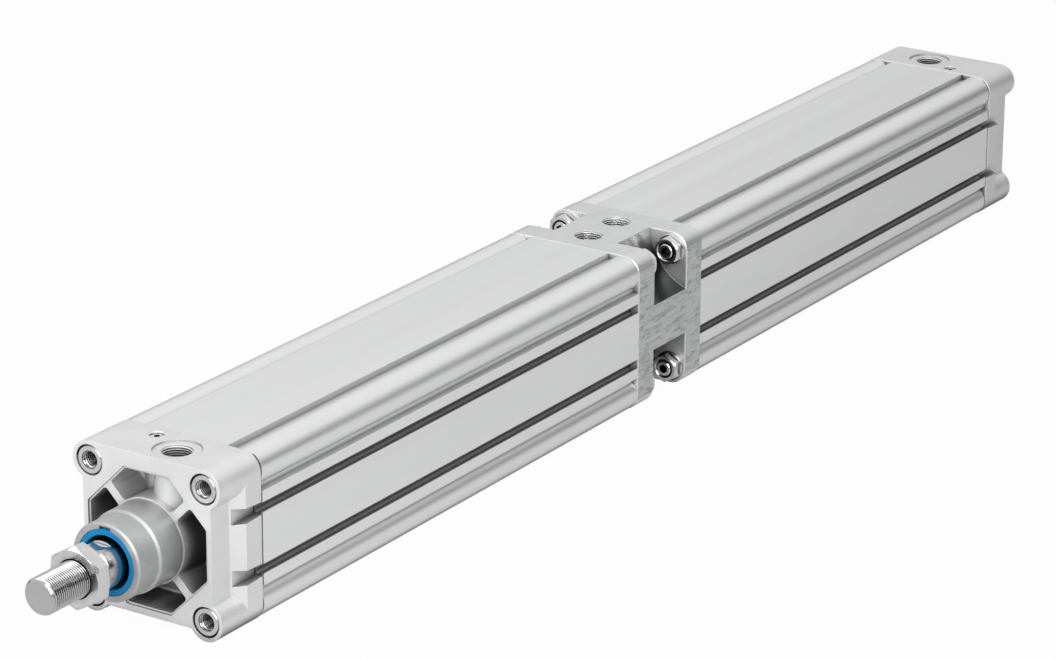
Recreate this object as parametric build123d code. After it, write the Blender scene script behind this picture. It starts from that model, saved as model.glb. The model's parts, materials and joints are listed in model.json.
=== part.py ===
from build123d import *
from math import cos, radians, sin
import os

# Tandem pneumatic cylinder: two profile barrels in line on one piston rod.
# +X is the direction in which the rod extends, +Z carries the air ports, and the
# origin is the middle of the front cover's mounting face. Sizes are in millimetres.

# Cylinder
bore = 80.0
stroke = 300.0
end_gap = 2.0
running_clearance = 0.03
static_clearance = 0.05
groove_play = 0.09
free_clearance = 0.3

# Covers
cover_depth = 34.5
corner_radius = 10.5
side_recess = 6.2
bottom_recess = 5.2
recess_length = 15.0
boss_fillet = 2.5
seam_chamfer = 0.5

# Front pockets of the covers
rim_wall = 8.8
rim_web = 5.86
rim_depth = 1.0
rim_step = 1.1
rib_thickness = 4.6
pocket_depth = 23.0
pocket_corner_radius = 2.0
pocket_floor_radius = 1.5
front_hub_wall = 0.9
rear_hub_wall = 4.0

# Bearing tower
tower_length = 33.6
tower_base_length = 17.0
pilot_radius = 22.5
tower_step = 1.2
tower_chamfer = 1.0
pull_notch_width = 7.0
pull_notch_depth = 1.5
pull_notch_length = 2.0

# Rear centring bore
centring_depth = 4.0

# Cushion chambers and their seals
chamber_radius = 18.0
chamber_wall = 8.0
cushion_radius = 16.0
cushion_length = 22.0
cushion_seal_radius = 20.5
cushion_seal_width = 5.5

# Air ports, G3/8
port_radius = 8.3
port_mouth_radius = 8.5
port_depth = 15.0
port_setback = 16.0
port_offset = 8.0
port_boss_radius = 12.0
passage_radius = 5.0
spotface_radius = 13.0
spotface_depth = 1.0

# Cushioning screws
needle_setback = 26.5
needle_offset = 13.0
needle_boss_radius = 6.5
needle_mouth_radius = 4.3
needle_bore_radius = 3.75
needle_bore_depth = 12.0
needle_seat_radius = 1.5
needle_clearance = 0.1
needle_head_drop = 1.0
needle_length = 10.5
needle_point_length = 5.0
needle_ring_width = 1.8
needle_ring_depth = 0.8
needle_socket = 3.0
needle_socket_depth = 3.0

# Spigots that centre the barrels
spigot_length = 8.0
seal_ring_width = 3.4
seal_ring_depth = 2.4
seal_ring_setback = 2.5

# Barrels
barrel_wall = 6.2
barrel_inset = 0.3
plateau_width = 51.2
groove_depth = 3.2
groove_wall_lean = 0.8
slot_offset = 16.8
slot_mouth = 5.4
slot_lip = 1.7
slot_width = 7.8
slot_depth = 5.2
slot_floor_width = 5.2
notch_seam_width = 6.8
notch_front_width = 8.8

# Middle block
plate_thickness = 17.0
waist_length = 35.0
pocket_radius = 36.4
pocket_lean = 28.8
nut_room = 2.6
middle_port_pitch = 30.0
crossing_radius = 4.0
crossing_inset = 10.0

# Fasteners, M10
thread_radius = 5.0
thread_pitch_radius = 4.5
thread_tip_radius = 4.0
bolt_clearance = 0.25
screw_head_radius = 7.6
screw_head_length = 19.5
screw_head_drop = 0.4
screw_head_edge = 0.4
screw_recess_radius = 8.4
screw_grip = 20.0
mounting_thread_depth = 17.0
screw_socket = 6.0
screw_socket_depth = 5.0
stud_grip = 18.0
stud_end = 7.0
stud_socket = 5.0
stud_socket_depth = 4.0
nut_flats = 15.0
nut_height = 6.6
flange_radius = 8.9
flange_height = 1.6
nut_mouth_radius = 5.8

# Piston rod
rod_radius = 12.5
rod_shoulder = 46.0
rod_thread_radius = 10.0
rod_pitch_radius = 9.5
rod_thread_length = 40.0
rod_end_chamfer = 1.5
rod_flats = 22.0
rod_flats_length = 10.0
stub_radius = 10.5
joint_radius = 8.0
joint_length = 20.0
rod_nut_flats = 30.0
rod_nut_height = 9.0
rod_nut_gap = 3.5
nut_bevel_slope = 0.58

# Pistons
piston_length = 40.0
piston_clearance = 0.4
lip_seal_width = 5.5
lip_seal_depth = 5.5
lip_seal_setback = 3.0
guide_depth = 2.2
piston_land = 1.5
magnet_width = 6.0
magnet_inner_radius = 30.0
magnet_cover = 1.0
stub_ring_width = 3.0
stub_ring_depth = 1.8
clip_width = 1.5
clip_depth = 0.9

# Bushes and rod seals
bush_wall = 2.0
rod_seal_depth = 5.2
rod_seal_width = 5.5
wiper_length = 8.5
wiper_drop = 0.1
seal_gap = 0.5
lip_height = 2.0
middle_seal_depth = 5.0
middle_seal_width = 6.5
retaining_ring_width = 1.6
retaining_ring_depth = 1.1
retaining_ring_band = 3.0
retaining_ring_opening = 8.0

# Stations along the rod axis
bore_radius = bore / 2
half_width = bore_radius + barrel_wall + barrel_inset
cover_width = 2 * half_width
half_pitch = half_width - corner_radius
barrel_length = stroke + piston_length + 2 * (spigot_length + end_gap)
block_length = 2 * plate_thickness + waist_length
front_seam = -cover_depth
block_front = front_seam - barrel_length
block_rear = block_front - block_length
rear_seam = block_rear - barrel_length
rear_face = rear_seam - cover_depth
block_middle = (block_front + block_rear) / 2
front_plate_back = block_front - plate_thickness
rear_plate_front = block_rear + plate_thickness
front_piston_middle = block_front + spigot_length + end_gap + piston_length / 2
rear_piston_middle = rear_seam + spigot_length + end_gap + piston_length / 2
corners = [(y, z) for y in (-half_pitch, half_pitch) for z in (-half_pitch, half_pitch)]
beyond = 1.0

# Levels and radii that follow from the sizes above
bush_bore_radius = rod_radius + bush_wall
wiper_bore_radius = rod_radius + rod_seal_depth
middle_seal_radius = rod_radius + middle_seal_depth
side_level = half_width - side_recess
bottom_level = half_width - bottom_recess
slot_floor_level = half_width - barrel_inset - slot_depth
rim_half_width = half_width - rim_wall
rim_corner_cut = half_pitch * 2 ** 0.5 - screw_recess_radius - rim_web
front_hub_radius = pilot_radius + front_hub_wall
rear_hub_radius = pilot_radius + rear_hub_wall
crossing_height = bore_radius - crossing_inset
rod_seal_seat = tower_length - wiper_drop - wiper_length - seal_gap - rod_seal_width
middle_seat_depth = middle_seal_width + retaining_ring_width + 2 * seal_gap
needle_top = half_width - needle_head_drop
needle_ring_top = needle_top - needle_length / 2
lip_seal_far = piston_length / 2 - lip_seal_setback
lip_seal_near = lip_seal_far - lip_seal_width
guide_far = lip_seal_near - piston_land
guide_near = magnet_width / 2 + piston_land
rod_nut_back = rod_shoulder + rod_nut_gap
rod_nut_front = rod_nut_back + rod_nut_height

# Where a piece drawn at the front cover, or on one side of the middle block, goes
at_rear_face = Pos(rear_face, 0, 0) * Rot(0, 0, 180)
at_block_front = Pos(block_front, 0, 0) * Rot(0, 0, 180)
at_block_rear = Pos(block_rear, 0, 0)
at_front_plate = Pos(front_plate_back, 0, 0) * Rot(0, 0, 180)
at_rear_plate = Pos(rear_plate_front, 0, 0)


def along(section, x_rear, x_front):
    """Extrude a cross-section, drawn in Y and Z, along the rod axis."""
    plane = Plane(origin=(x_rear, 0, 0), x_dir=(0, 1, 0), z_dir=(1, 0, 0))
    return extrude(plane * section, amount=x_front - x_rear)


def bar(radius, x_rear, x_front, y=0, z=0):
    """Round bar parallel to the rod axis."""
    return along(Pos(y, z) * Circle(radius), x_rear, x_front)


def post(radius, x, y, z_low, z_high):
    """Round bar parallel to Z."""
    return extrude(Plane((x, y, z_low)) * Circle(radius), amount=z_high - z_low)


def turned(*outline):
    """Turn a closed outline of (x, radius) points about the rod axis."""
    return revolve(make_face(Polyline(*outline, close=True)), Axis.X)


def turned_upright(x, y, *outline):
    """Turn a closed outline of (radius, z) points about a vertical axis at x, y."""
    face = Plane.XZ * make_face(Polyline(*outline, close=True))
    return Pos(x, y, 0) * revolve(face, Axis.Z)


def ring(inner_radius, outer_radius, x_rear, x_front):
    """Plain ring about the rod axis."""
    return along(Circle(outer_radius) - Circle(inner_radius), x_rear, x_front)


def box_section(y_low, y_high, z_low, z_high):
    """Rectangle in a cross-section, given by its edges."""
    return Pos((y_low + y_high) / 2, (z_low + z_high) / 2) * Rectangle(y_high - y_low, z_high - z_low)


def hexagon(flats):
    """Hexagon with two of its flats facing +Y and -Y."""
    return RegularPolygon(flats / 2, 6, major_radius=False, rotation=30)


def corner_radius_of(flats):
    """Distance from the middle of a hexagon to its corners."""
    return flats / 3 ** 0.5


def at_corners(piece):
    """Four copies of a piece, one on each bolt axis."""
    return [Pos(0, y, z) * piece for y, z in corners]


def group(solids):
    """Several separate solids kept as one named piece."""
    return Compound(children=list(solids))


# Covers


def cover_front_section():
    """Front half of a cover seen along the rod: round bolt bosses, sides drawn in between them."""
    core = box_section(-side_level, side_level, -bottom_level, half_pitch)
    top = box_section(-half_pitch, half_pitch, 0, half_width)
    bosses = [Pos(y, z) * Circle(corner_radius) for y, z in corners]
    outline = core + top + bosses
    on_side = outline.vertices().filter_by(lambda v: abs(abs(v.X) - side_level) < static_clearance)
    at_bottom = outline.vertices().filter_by(lambda v: abs(v.Y + bottom_level) < static_clearance)
    return fillet(on_side + at_bottom, boss_fillet)


def side_ramp(level):
    """Wedge that is cut from the +Y side to slope it from its drawn-in level to full width."""
    rise = half_width - level + beyond
    wedge = Polyline(
        (-recess_length, level),
        (-recess_length, level + rise),
        (-recess_length - rise, level + rise),
        close=True,
    )
    return extrude(Plane.XY.offset(-cover_width) * make_face(wedge), amount=2 * cover_width)


def slot_notches():
    """Two flared notches in the +Y side that carry the barrel's sensor slots on to the recess."""
    notch = Polyline(
        (-cover_depth, -notch_seam_width / 2),
        (-recess_length, -notch_front_width / 2),
        (-recess_length, notch_front_width / 2),
        (-cover_depth, notch_seam_width / 2),
        close=True,
    )
    floor = Plane(origin=(0, slot_floor_level, 0), x_dir=(1, 0, 0), z_dir=(0, 1, 0))
    cutter = extrude(floor * make_face(notch), amount=half_width - slot_floor_level + beyond)
    return [Pos(0, 0, z) * cutter for z in (-slot_offset, slot_offset)]


def octagon(half, corner_cut):
    """Square with its corners cut off at corner_cut from the middle."""
    return Rectangle(2 * half, 2 * half) & Rot(0, 0, 45) * Rectangle(2 * corner_cut, 2 * corner_cut)


def cover_pockets(hub_radius):
    """The four deep pockets between hub, ribs and octagonal rim."""
    outline = octagon(rim_half_width - rim_step, rim_corner_cut - rim_step)
    ribs = [Rot(0, 0, angle) * Rectangle(2 * cover_width, rib_thickness) for angle in (45, 135)]
    section = outline - Circle(hub_radius) - ribs
    rib_length = rim_corner_cut - rim_step - hub_radius
    in_corners = min(pocket_corner_radius, rib_length / 3)
    section = fillet(section.vertices(), in_corners)
    pockets = along(section, -pocket_depth, 0)
    at_floor = min(pocket_floor_radius, 3 / 4 * in_corners)
    return fillet(pockets.edges().group_by(Axis.X)[0], at_floor)


def spigot():
    """Spigot that enters the barrel, with its seal groove, from x = 0 towards -X."""
    radius = bore_radius - static_clearance
    groove_near = -seal_ring_setback
    groove_far = groove_near - seal_ring_width
    return turned(
        (0, 0),
        (0, radius),
        (groove_near, radius),
        (groove_near, radius - seal_ring_depth),
        (groove_far, radius - seal_ring_depth),
        (groove_far, radius),
        (-spigot_length, radius),
        (-spigot_length, 0),
    )


def spigot_seal_ring():
    """Seal ring in the spigot's groove."""
    inner = bore_radius - seal_ring_depth
    near = -seal_ring_setback - static_clearance
    far = -seal_ring_setback - seal_ring_width + static_clearance
    return ring(inner, bore_radius - static_clearance, far, near)


def port_hole(x, y, face, passage_end):
    """Threaded air port that goes down from a face, and the narrower passage below it."""
    shoulder = face - port_depth
    return turned_upright(
        x,
        y,
        (0, face),
        (port_mouth_radius, face),
        (port_radius, face - port_mouth_radius + port_radius),
        (port_radius, shoulder),
        (passage_radius, shoulder),
        (passage_radius, passage_end),
        (0, passage_end),
    )


def needle_hole():
    """Stepped hole of the cushioning screw, from the top face down to the cushion chamber."""
    throat = half_width - needle_bore_depth
    countersink = needle_mouth_radius - needle_bore_radius
    return turned_upright(
        -needle_setback,
        -needle_offset,
        (0, half_width),
        (needle_mouth_radius, half_width),
        (needle_bore_radius, half_width - countersink),
        (needle_bore_radius, throat),
        (needle_seat_radius, throat - needle_bore_radius + needle_seat_radius),
        (needle_seat_radius, chamber_radius / 2),
        (0, chamber_radius / 2),
    )


def collar_screw_hole():
    """Stepped hole for a collar screw on the rod axis."""
    seat = -screw_head_drop - screw_head_length
    return bar(screw_recess_radius, seat, 0) + bar(thread_radius + bolt_clearance, -cover_depth, seat)


def cushion_chamber():
    """Chamber that the cushion enters, with the seat of the cushion seal at its mouth."""
    mouth = -cover_depth - spigot_length
    seat = mouth + cushion_seal_width + static_clearance
    return bar(chamber_radius, mouth, -chamber_wall) + bar(cushion_seal_radius, mouth, seat)


def cover_casting(hub_radius):
    """What both covers share, with the mounting face at x = 0 and the barrel towards -X."""
    square = RectangleRounded(cover_width, cover_width, corner_radius)
    rear_block = along(square, -cover_depth, -recess_length)
    rear_block = chamfer(rear_block.edges().group_by(Axis.X)[0], seam_chamfer)
    rear_block -= side_ramp(side_level)
    rear_block -= Rot(180, 0, 0) * side_ramp(side_level)
    rear_block -= Rot(-90, 0, 0) * side_ramp(bottom_level)
    casting = along(cover_front_section(), -cover_depth + seam_chamfer, 0) + rear_block
    for turn in (0, 180, -90):
        casting -= [Rot(turn, 0, 0) * notch for notch in slot_notches()]
    casting -= along(octagon(rim_half_width, rim_corner_cut) - Circle(hub_radius), -rim_depth, 0)
    casting -= cover_pockets(hub_radius)
    port_floor = half_width - spotface_depth
    casting += post(port_boss_radius, -port_setback, port_offset, chamber_radius, port_floor)
    casting += post(needle_boss_radius, -needle_setback, -needle_offset, chamber_radius, port_floor)
    casting += Pos(-cover_depth, 0, 0) * spigot()
    casting -= cushion_chamber()
    casting -= post(spotface_radius, -port_setback, port_offset, port_floor, half_width)
    casting -= port_hole(-port_setback, port_offset, port_floor, chamber_radius / 2)
    casting -= needle_hole()
    return casting - at_corners(collar_screw_hole())


def front_cover():
    """Casting with the bearing tower for the rod."""
    tower_front_radius = pilot_radius - tower_step
    tower = turned(
        (-chamber_wall, 0),
        (-chamber_wall, front_hub_radius),
        (0, front_hub_radius),
        (0, pilot_radius),
        (tower_base_length, pilot_radius),
        (tower_base_length + tower_step, tower_front_radius),
        (tower_length - tower_chamfer, tower_front_radius),
        (tower_length, tower_front_radius - tower_chamfer),
        (tower_length, 0),
    )
    notch = box_section(
        -pull_notch_width / 2, pull_notch_width / 2, 0, wiper_bore_radius + pull_notch_depth
    )
    cover = cover_casting(front_hub_radius) + tower
    cover -= bar(bush_bore_radius, -chamber_wall, tower_length)
    cover -= bar(wiper_bore_radius, rod_seal_seat, tower_length)
    return cover - along(notch, tower_length - pull_notch_length, tower_length)


def rear_cover():
    """Casting without a tower, with a shallow centring bore instead."""
    cover = cover_casting(rear_hub_radius) - bar(pilot_radius, -centring_depth, 0)
    return at_rear_face * cover


# Barrels


def slot_section():
    """T-slot for a sensor, open at the top and drawn down from the origin."""
    half_mouth = slot_mouth / 2
    half_slot = slot_width / 2
    half_floor = slot_floor_width / 2
    bevel = half_slot - half_floor
    right = [
        (half_mouth, beyond),
        (half_mouth, -slot_lip),
        (half_slot, -slot_lip),
        (half_slot, bevel - slot_depth),
        (half_floor, -slot_depth),
    ]
    left = [(-x, y) for x, y in reversed(right)]
    return make_face(Polyline(*right, *left, close=True))


def barrel_section():
    """Extruded profile: four raised plateaus, rolled corners, sensor slots on three sides."""
    level = half_width - barrel_inset
    floor = level - groove_depth
    foot = plateau_width / 2 + groove_wall_lean
    plateau = make_face(
        Polyline(
            (-foot, 0), (-foot, floor), (-plateau_width / 2, level),
            (plateau_width / 2, level), (foot, floor), (foot, 0), close=True,
        )
    )
    outline = Rectangle(2 * floor, 2 * floor)
    outline += [Rot(0, 0, turn) * plateau for turn in (0, 90, 180, 270)]
    outline += [Pos(y, z) * Circle(corner_radius - barrel_inset) for y, z in corners]
    outline -= Circle(bore_radius)
    outline -= [Pos(y, z) * Circle(thread_pitch_radius + static_clearance) for y, z in corners]
    slots = [Pos(offset, level) * slot_section() for offset in (-slot_offset, slot_offset)]
    for turn in (90, 180, 270):
        outline -= [Rot(0, 0, turn) * slot for slot in slots]
    return outline


def barrel(x_rear):
    """One barrel, from its rear end forwards."""
    return along(barrel_section(), x_rear, x_rear + barrel_length)


# Middle block


def waist_section():
    """Waist of the middle block: a square whose corners are milled out in an arc round each nut."""
    reach = pocket_radius - flange_radius - nut_room
    y = half_pitch + reach * cos(radians(pocket_lean))
    z = half_pitch + reach * sin(radians(pocket_lean))
    pockets = [Pos(side * y, level * z) * Circle(pocket_radius) for side in (-1, 1) for level in (-1, 1)]
    return Rectangle(cover_width, cover_width) - pockets


def middle_plate(x_rear):
    """Square end plate of the middle block."""
    square = RectangleRounded(cover_width, cover_width, corner_radius)
    plate = along(square, x_rear, x_rear + plate_thickness)
    ends = plate.edges().group_by(Axis.X)
    return chamfer(ends[0] + ends[-1], seam_chamfer)


def middle_rod_bore():
    """Bore for the middle bush, with a seal seat and a ring groove at each end."""
    front_end = block_front + spigot_length
    rear_end = block_rear - spigot_length
    seat_depth = middle_seat_depth
    to_groove = seat_depth - middle_seal_width - static_clearance
    cutter = bar(bush_bore_radius, rear_end, front_end)
    cutter += bar(middle_seal_radius, front_end - seat_depth, front_end)
    cutter += bar(middle_seal_radius, rear_end, rear_end + seat_depth)
    groove_radius = middle_seal_radius + retaining_ring_depth
    groove_front = front_end - to_groove
    cutter += bar(groove_radius, groove_front, groove_front + retaining_ring_width)
    groove_rear = rear_end + to_groove
    cutter += bar(groove_radius, groove_rear - retaining_ring_width, groove_rear)
    return cutter


def middle_block():
    """Two plates on a waist, with spigots, ports and the rod's middle bearing."""
    block = middle_plate(front_plate_back) + middle_plate(block_rear)
    block += along(waist_section(), rear_plate_front - seam_chamfer, front_plate_back + seam_chamfer)
    block += at_block_front * spigot()
    block += at_block_rear * spigot()
    block -= middle_rod_bore()
    for side in (-1, 1):
        port_x = block_middle + side * middle_port_pitch / 2
        spigot_end = block_middle + side * (block_length / 2 + spigot_length)
        block -= port_hole(port_x, 0, half_width, crossing_height - crossing_radius)
        block -= bar(crossing_radius, min(port_x, spigot_end), max(port_x, spigot_end), 0, crossing_height)
    bolt_hole = bar(thread_radius + bolt_clearance, block_rear, block_front)
    return block - at_corners(bolt_hole)


# Fasteners


def collar_screw():
    """Screw that holds a cover on its barrel, with a mounting thread in its head."""
    head_front = -screw_head_drop
    seat = head_front - screw_head_length
    thread_end = head_front - mounting_thread_depth
    tip = -cover_depth - screw_grip
    screw = turned(
        (tip, 0),
        (tip, thread_tip_radius),
        (tip + thread_pitch_radius - thread_tip_radius, thread_pitch_radius),
        (-cover_depth, thread_pitch_radius),
        (-cover_depth, thread_radius),
        (seat, thread_radius),
        (seat, screw_head_radius),
        (head_front - screw_head_edge, screw_head_radius),
        (head_front, screw_head_radius - screw_head_edge),
        (head_front, thread_radius),
        (thread_end, thread_radius),
        (thread_end, 0),
    )
    return screw - along(hexagon(screw_socket), thread_end - screw_socket_depth, thread_end)


def stud():
    """Stud through a plate of the middle block, whose pocket side is at x = 0."""
    tip = -plate_thickness - stud_grip
    bevel = thread_pitch_radius - thread_tip_radius
    pin = turned(
        (tip, 0),
        (tip, thread_tip_radius),
        (tip + bevel, thread_pitch_radius),
        (-plate_thickness, thread_pitch_radius),
        (-plate_thickness, thread_radius),
        (0, thread_radius),
        (0, thread_pitch_radius),
        (stud_end - bevel, thread_pitch_radius),
        (stud_end, thread_tip_radius),
        (stud_end, 0),
    )
    return pin - along(hexagon(stud_socket), stud_end - stud_socket_depth, stud_end)


def flange_nut():
    """Hexagon nut with a flange that sits on the plate at x = 0."""
    corner = corner_radius_of(nut_flats)
    crown = turned(
        (0, 0),
        (0, flange_radius),
        (flange_height / 2, flange_radius),
        (flange_height, corner),
        (nut_height - corner + nut_flats / 2, corner),
        (nut_height, nut_flats / 2 - static_clearance),
        (nut_height, 0),
    )
    skirt = bar(flange_radius, 0, flange_height)
    nut = crown & (skirt + along(hexagon(nut_flats), 0, nut_height))
    nut -= bar(thread_pitch_radius + static_clearance, 0, nut_height)
    mouth = turned((nut_height, 0), (nut_height, nut_mouth_radius), (nut_height - nut_mouth_radius, 0))
    return nut - mouth


# Rod and pistons


def piston_rod():
    """Front rod: threaded end, narrower inside the nut, spanner flats, and a stub through the piston."""
    tip = rod_shoulder + rod_thread_length
    seat = front_piston_middle + piston_length / 2
    stub_end = seat - piston_length
    rod = turned(
        (stub_end - joint_length, 0),
        (stub_end - joint_length, joint_radius),
        (stub_end, joint_radius),
        (stub_end, stub_radius),
        (seat, stub_radius),
        (seat, rod_radius),
        (rod_shoulder - rod_end_chamfer / 2, rod_radius),
        (rod_shoulder, rod_radius - rod_end_chamfer / 2),
        (rod_shoulder, rod_pitch_radius),
        (rod_nut_front, rod_pitch_radius),
        (rod_nut_front, rod_thread_radius),
        (tip - rod_end_chamfer, rod_thread_radius),
        (tip, rod_thread_radius - rod_end_chamfer),
        (tip, 0),
    )
    flats = beside_flats(rod_shoulder - rod_flats_length, rod_shoulder)
    clip_x = seat + cushion_length / 2
    clip_groove = ring(rod_radius - clip_depth, rod_radius, clip_x, clip_x + clip_width)
    stub_groove = stub_ring_groove(front_piston_middle)
    return rod - flats - clip_groove - stub_groove


def beside_flats(x_rear, x_front):
    """What is cut away above and below the two spanner flats of the rod."""
    keep = Rectangle(2 * rod_radius, rod_flats)
    return along(Rectangle(4 * rod_radius, 4 * rod_radius) - keep, x_rear, x_front)


def stub_ring_groove(middle):
    """Groove in a piston's stub for its static seal ring."""
    half = stub_ring_width / 2
    return ring(stub_radius - stub_ring_depth, stub_radius, middle - half, middle + half)


def intermediate_rod():
    """Rod between the pistons, bored for the front rod's thread, with a stub at the rear."""
    front = front_piston_middle - piston_length / 2
    seat = rear_piston_middle + piston_length / 2
    stub_end = seat - piston_length
    tail = stub_end - joint_length
    rod = turned(
        (tail, 0),
        (tail, joint_radius),
        (stub_end, joint_radius),
        (stub_end, stub_radius),
        (seat, stub_radius),
        (seat, rod_radius),
        (front, rod_radius),
        (front, 0),
    )
    socket = bar(joint_radius + running_clearance, front - joint_length - end_gap, front)
    return rod - socket - stub_ring_groove(rear_piston_middle)


def piston_half():
    """Half of a piston, from the split at x = 0 towards +X, with its seal grooves."""
    radius = bore_radius - piston_clearance
    length = piston_length / 2
    hole = stub_radius + running_clearance
    return turned(
        (0, hole),
        (0, magnet_inner_radius),
        (magnet_width / 2, magnet_inner_radius),
        (magnet_width / 2, radius),
        (guide_near, radius),
        (guide_near, radius - guide_depth),
        (guide_far, radius - guide_depth),
        (guide_far, radius),
        (lip_seal_near, radius),
        (lip_seal_near, radius - lip_seal_depth),
        (lip_seal_far, radius - lip_seal_depth),
        (lip_seal_far, radius),
        (length, radius),
        (length, hole),
    )


def lip_seal():
    """Lip seal of a piston half, with its lip towards the pressure side."""
    bottom = bore_radius - piston_clearance - lip_seal_depth + free_clearance
    top = bore_radius - static_clearance
    far = lip_seal_far - groove_play
    near = lip_seal_near + groove_play
    middle = (bottom + top) / 2
    return turned(
        (near, bottom),
        (near, top - free_clearance),
        (far, top),
        (far, top - lip_height / 2),
        (far - lip_height, middle),
        (far, bottom + lip_height / 2),
        (far, bottom),
    )


def guide_ring():
    """Guide ring of a piston half."""
    bottom = bore_radius - piston_clearance - guide_depth + free_clearance
    return ring(bottom, bore_radius - static_clearance, guide_near + groove_play, guide_far - groove_play)


def both_halves(piece):
    """The same piece on both halves of a piston."""
    return [piece, Rot(0, 0, 180) * piece]


def magnet():
    """Magnet ring between the halves of a piston."""
    half = magnet_width / 2
    outer = bore_radius - piston_clearance - magnet_cover
    return ring(magnet_inner_radius + static_clearance, outer, -half, half)


def stub_seal_ring():
    """Static seal ring in the groove of a piston's stub."""
    half = stub_ring_width / 2 - static_clearance
    return ring(stub_radius - stub_ring_depth + static_clearance, stub_radius, -half, half)


def cushion_sleeve():
    """Sleeve on the rod that closes the front cushion chamber."""
    near = front_piston_middle + piston_length / 2
    far = near + cushion_length
    inner = rod_radius + static_clearance
    clip_x = near + cushion_length / 2
    sleeve = turned(
        (near, inner),
        (near, cushion_radius),
        (far - lip_height, cushion_radius),
        (far, cushion_radius - lip_height / 2),
        (far, inner),
    )
    return sleeve - ring(inner, inner + clip_depth, clip_x, clip_x + clip_width)


def sleeve_clip():
    """Split spring ring that holds the cushion sleeve on the rod."""
    clip_x = front_piston_middle + piston_length / 2 + cushion_length / 2
    inner = rod_radius - clip_depth + static_clearance
    band = Circle(rod_radius + clip_depth) - Circle(inner)
    band -= box_section(-clip_width, clip_width, 0, 2 * rod_radius)
    return along(band, clip_x, clip_x + clip_width)


def cushion_spear():
    """Spear behind the rear piston, which is also the nut that clamps that piston."""
    near = rear_piston_middle - piston_length / 2
    far = near - cushion_length
    spear = turned(
        (near, 0),
        (near, cushion_radius),
        (far + lip_height, cushion_radius),
        (far, cushion_radius - lip_height / 2),
        (far, 0),
    )
    thread = bar(joint_radius + running_clearance, near - joint_length, near)
    return spear - thread


def rod_nut():
    """Thin hexagon nut on the rod thread, bevelled at both faces."""
    corner = corner_radius_of(rod_nut_flats)
    face = rod_nut_flats / 2 - static_clearance
    bevel = (corner - face) * nut_bevel_slope
    body = turned(
        (rod_nut_back, 0),
        (rod_nut_back, face),
        (rod_nut_back + bevel, corner),
        (rod_nut_front - bevel, corner),
        (rod_nut_front, face),
        (rod_nut_front, 0),
    )
    nut = body & along(hexagon(rod_nut_flats), rod_nut_back, rod_nut_front)
    nut -= bar(rod_pitch_radius + running_clearance, rod_nut_back, rod_nut_front)
    mouth = rod_thread_radius + rod_end_chamfer / 2
    for end, inwards in ((rod_nut_back, 1), (rod_nut_front, -1)):
        nut -= turned((end, 0), (end, mouth), (end + inwards * mouth, 0))
    return nut


# Seals, bushes and rings of the housing


def rod_bush():
    """Bearing bush in the tower."""
    inner = rod_radius + running_clearance
    return ring(inner, bush_bore_radius - static_clearance, -chamber_wall, rod_seal_seat)


def rod_seal():
    """Pressure seal behind the wiper."""
    back = rod_seal_seat + static_clearance
    inner = rod_radius + static_clearance
    outer = wiper_bore_radius - static_clearance
    front = back + rod_seal_width
    middle = (inner + outer) / 2
    return turned(
        (front, inner + free_clearance),
        (back, inner),
        (back, inner + lip_height / 2),
        (back + lip_height, middle),
        (back, outer - lip_height / 2),
        (back, outer),
        (front, outer),
    )


def wiper_seal():
    """Wiper whose face closes the tower's bore, with a lip on the rod."""
    back = rod_seal_seat + rod_seal_width + seal_gap
    front = tower_length - wiper_drop
    lip = rod_radius + static_clearance
    outer = wiper_bore_radius - static_clearance
    return turned(
        (back, outer),
        (front, outer),
        (front, lip + seal_gap),
        (front - lip_height, lip),
        (front - 2 * lip_height, lip),
        (back, lip + lip_height),
    )


def middle_bush():
    """Bearing bush of the middle block, between its two seals."""
    reach = block_length / 2 + spigot_length - middle_seat_depth
    inner = rod_radius + running_clearance
    return ring(inner, bush_bore_radius - static_clearance, block_middle - reach, block_middle + reach)


def middle_seal():
    """Rod seal of the middle block, from the bottom of its seat at x = 0 towards +X."""
    inner = rod_radius + static_clearance
    outer = middle_seal_radius - static_clearance
    return turned(
        (0, inner + free_clearance),
        (0, outer),
        (middle_seal_width, outer),
        (middle_seal_width, outer - lip_height / 2),
        (middle_seal_width - lip_height, (inner + outer) / 2),
        (middle_seal_width, inner + lip_height / 2),
        (middle_seal_width, inner),
    )


def retaining_ring():
    """Split ring in its groove in front of a middle seal."""
    outer = middle_seal_radius + retaining_ring_depth - static_clearance
    band = Circle(outer) - Circle(outer - retaining_ring_band)
    band -= box_section(-retaining_ring_opening / 2, retaining_ring_opening / 2, 0, 2 * outer)
    near = middle_seal_width + 2 * static_clearance
    return along(band, near, near + retaining_ring_width - 2 * static_clearance)


def cushion_seal():
    """Seal at the mouth of a cushion chamber, drawn at the front cover."""
    mouth = -cover_depth - spigot_length
    inner = cushion_radius + free_clearance
    outer = cushion_seal_radius - static_clearance
    return ring(inner, outer, mouth, mouth + cushion_seal_width)


# Cushioning screws


def needle_screw():
    """Cushioning screw of the front cover, with its point in the seat."""
    radius = needle_bore_radius - needle_clearance
    waist = radius - needle_ring_depth
    bottom = needle_top - needle_length
    point = needle_seat_radius - needle_clearance
    screw = turned_upright(
        -needle_setback,
        -needle_offset,
        (0, needle_top),
        (radius - needle_clearance, needle_top),
        (radius, needle_top - needle_clearance),
        (radius, needle_ring_top),
        (waist, needle_ring_top),
        (waist, needle_ring_top - needle_ring_width),
        (radius, needle_ring_top - needle_ring_width),
        (radius, bottom),
        (point, bottom),
        (point / 2, bottom - needle_point_length),
        (0, bottom - needle_point_length),
    )
    socket_floor = Plane((-needle_setback, -needle_offset, needle_top - needle_socket_depth))
    socket = socket_floor * hexagon(needle_socket)
    return screw - extrude(socket, amount=needle_socket_depth)


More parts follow.
